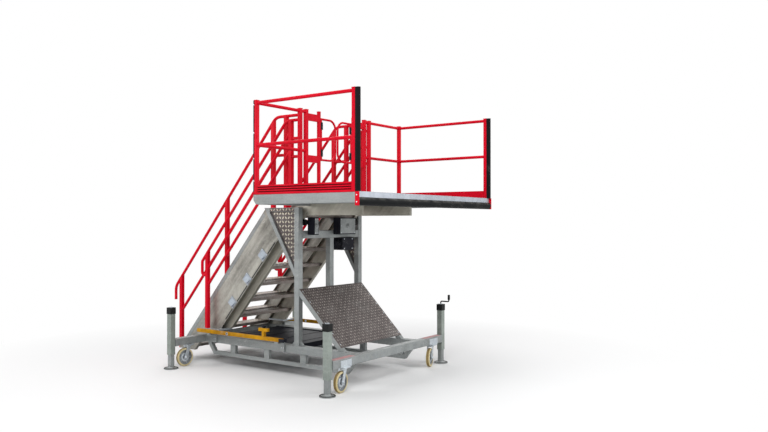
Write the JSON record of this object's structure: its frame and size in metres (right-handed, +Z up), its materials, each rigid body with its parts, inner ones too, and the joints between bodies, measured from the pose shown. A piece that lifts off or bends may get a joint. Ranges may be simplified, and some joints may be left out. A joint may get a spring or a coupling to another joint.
{
  "type": "adjustable mobile work platform",
  "caption": "Mobile access platform: wheeled base with jacks, tower, fixed stair and a guarded deck that slides up the incline on a second flight to change working height.",
  "frame": {"origin": "on the floor, below the middle of the machine's length and width", "axes": "+X forward to the deck's open edge, +Y to the left-hand side, +Z up"},
  "size_m": [4.0512, 3, 3.39],
  "materials": {
    "red_paint": "gloss red powder coat",
    "grey_steel": "light grey satin finish on steel",
    "mill_aluminium": "mill-finish aluminium",
    "tread_plate": "raised-bar tread plate",
    "dark_steel": "dark satin paint",
    "black_rubber": "black fender rubber",
    "black_plastic": "black moulded cap",
    "yellow_paint": "yellow gloss paint",
    "zinc": "bright zinc plate",
    "cream_tyre": "cream polyurethane tyre"
  },
  "bodies": {
    "base": {"base_rails": "grey_steel", "cross_beam_front": "grey_steel", "cross_beam_rear": "grey_steel", "under_chords": "grey_steel", "chord_spacers": "grey_steel", "ballast_tray": "dark_steel", "tower_posts": "grey_steel", "tower_beams": "grey_steel", "centre_post": "grey_steel", "gusset_plates": "tread_plate", "tower_braces": "grey_steel", "slope_panel": "tread_plate", "winch": "dark_steel", "tower_rollers": "black_plastic", "fixed_stringers": "mill_aluminium", "stringer_covers": "zinc", "fixed_treads": "tread_plate", "fixed_rail_posts": "red_paint", "fixed_rails": "red_paint", "jack_housings": "grey_steel", "jack_caps": "black_plastic", "castor_plates": "zinc", "stowed_bars": "yellow_paint", "bar_carriers": "grey_steel"},
    "platform": {"slide_stringers": "mill_aluminium", "slide_treads": "tread_plate", "slide_brackets": "zinc", "slide_rollers": "dark_steel", "slide_rail_posts": "red_paint", "slide_rails": "red_paint", "deck_long_beams": "grey_steel", "deck_end_beams": "grey_steel", "deck_floor": "tread_plate", "kick_boards": "red_paint", "guard_posts": "red_paint", "guard_rails": "red_paint", "post_fenders": "black_rubber", "deck_fender": "black_rubber", "fender_brackets": "red_paint", "deck_nosing": "mill_aluminium", "gate_frame": "red_paint", "gate_hinges": "black_plastic"},
    "gate_left": {"gate_left": "red_paint"},
    "gate_right": {"gate_right": "red_paint"},
    "castor_front_left": {"castor_fork_front_left": "zinc"},
    "wheel_front_left": {"castor_tyre_front_left": "cream_tyre", "castor_hub_front_left": "zinc"},
    "jack_front_left": {"jack_leg_front_left": "grey_steel"},
    "castor_front_right": {"castor_fork_front_right": "zinc"},
    "wheel_front_right": {"castor_tyre_front_right": "cream_tyre", "castor_hub_front_right": "zinc"},
    "jack_front_right": {"jack_leg_front_right": "grey_steel"},
    "castor_rear_left": {"castor_fork_rear_left": "zinc"},
    "wheel_rear_left": {"castor_tyre_rear_left": "cream_tyre", "castor_hub_rear_left": "zinc"},
    "jack_rear_left": {"jack_leg_rear_left": "grey_steel"},
    "castor_rear_right": {"castor_fork_rear_right": "zinc"},
    "wheel_rear_right": {"castor_tyre_rear_right": "cream_tyre", "castor_hub_rear_right": "zinc"},
    "jack_rear_right": {"jack_leg_rear_right": "grey_steel"}
  },
  "joints": [
    {"name": "platform_slide", "type": "slide", "parent": "base", "child": "platform", "axis": [0.6561, 0, 0.7547], "range_m": [0, 1.524]},
    {"name": "gate_left_swing", "type": "hinge", "parent": "platform", "child": "gate_left", "pos_m": [0.50064, 0.315, 3.035], "axis": [0, 0, 1], "range_deg": [0, 90], "stiffness_Nm_per_rad": 2, "springref_deg": -17.19},
    {"name": "gate_right_swing", "type": "hinge", "parent": "platform", "child": "gate_right", "pos_m": [0.50064, -0.315, 3.035], "axis": [0, 0, -1], "range_deg": [0, 90], "stiffness_Nm_per_rad": 2, "springref_deg": -17.19},
    {"name": "swivel_front_left", "type": "hinge", "parent": "base", "child": "castor_front_left", "pos_m": [1.37564, 0.955, 0.27], "axis": [0, 0, 1], "continuous": true},
    {"name": "roll_front_left", "type": "hinge", "parent": "castor_front_left", "child": "wheel_front_left", "pos_m": [1.38954, 0.9122, 0.125], "axis": [0.9511, 0.309, 0], "continuous": true},
    {"name": "jack_front_left_lift", "type": "slide", "parent": "base", "child": "jack_front_left", "axis": [0, 0, 1], "range_m": [0, 0.15]},
    {"name": "swivel_front_right", "type": "hinge", "parent": "base", "child": "castor_front_right", "pos_m": [1.37564, -0.955, 0.27], "axis": [0, 0, 1], "continuous": true},
    {"name": "roll_front_right", "type": "hinge", "parent": "castor_front_right", "child": "wheel_front_right", "pos_m": [1.37956, -0.99983, 0.125], "axis": [0.9962, 0.0872, 0], "continuous": true},
    {"name": "jack_front_right_lift", "type": "slide", "parent": "base", "child": "jack_front_right", "axis": [0, 0, 1], "range_m": [0, 0.15]},
    {"name": "swivel_rear_left", "type": "hinge", "parent": "base", "child": "castor_rear_left", "pos_m": [-1.34564, 0.955, 0.27], "axis": [0, 0, 1], "continuous": true},
    {"name": "roll_rear_left", "type": "hinge", "parent": "castor_rear_left", "child": "wheel_rear_left", "pos_m": [-1.33782, 0.91068, 0.125], "axis": [-0.9848, -0.1736, 0], "continuous": true},
    {"name": "jack_rear_left_lift", "type": "slide", "parent": "base", "child": "jack_rear_left", "axis": [0, 0, 1], "range_m": [0, 0.15]},
    {"name": "swivel_rear_right", "type": "hinge", "parent": "base", "child": "castor_rear_right", "pos_m": [-1.34564, -0.955, 0.27], "axis": [0, 0, 1], "continuous": true},
    {"name": "roll_rear_right", "type": "hinge", "parent": "castor_rear_right", "child": "wheel_rear_right", "pos_m": [-1.35034, -0.99975, 0.125], "axis": [-0.9945, 0.1045, 0], "continuous": true},
    {"name": "jack_rear_right_lift", "type": "slide", "parent": "base", "child": "jack_rear_right", "axis": [0, 0, 1], "range_m": [0, 0.15]}
  ]
}
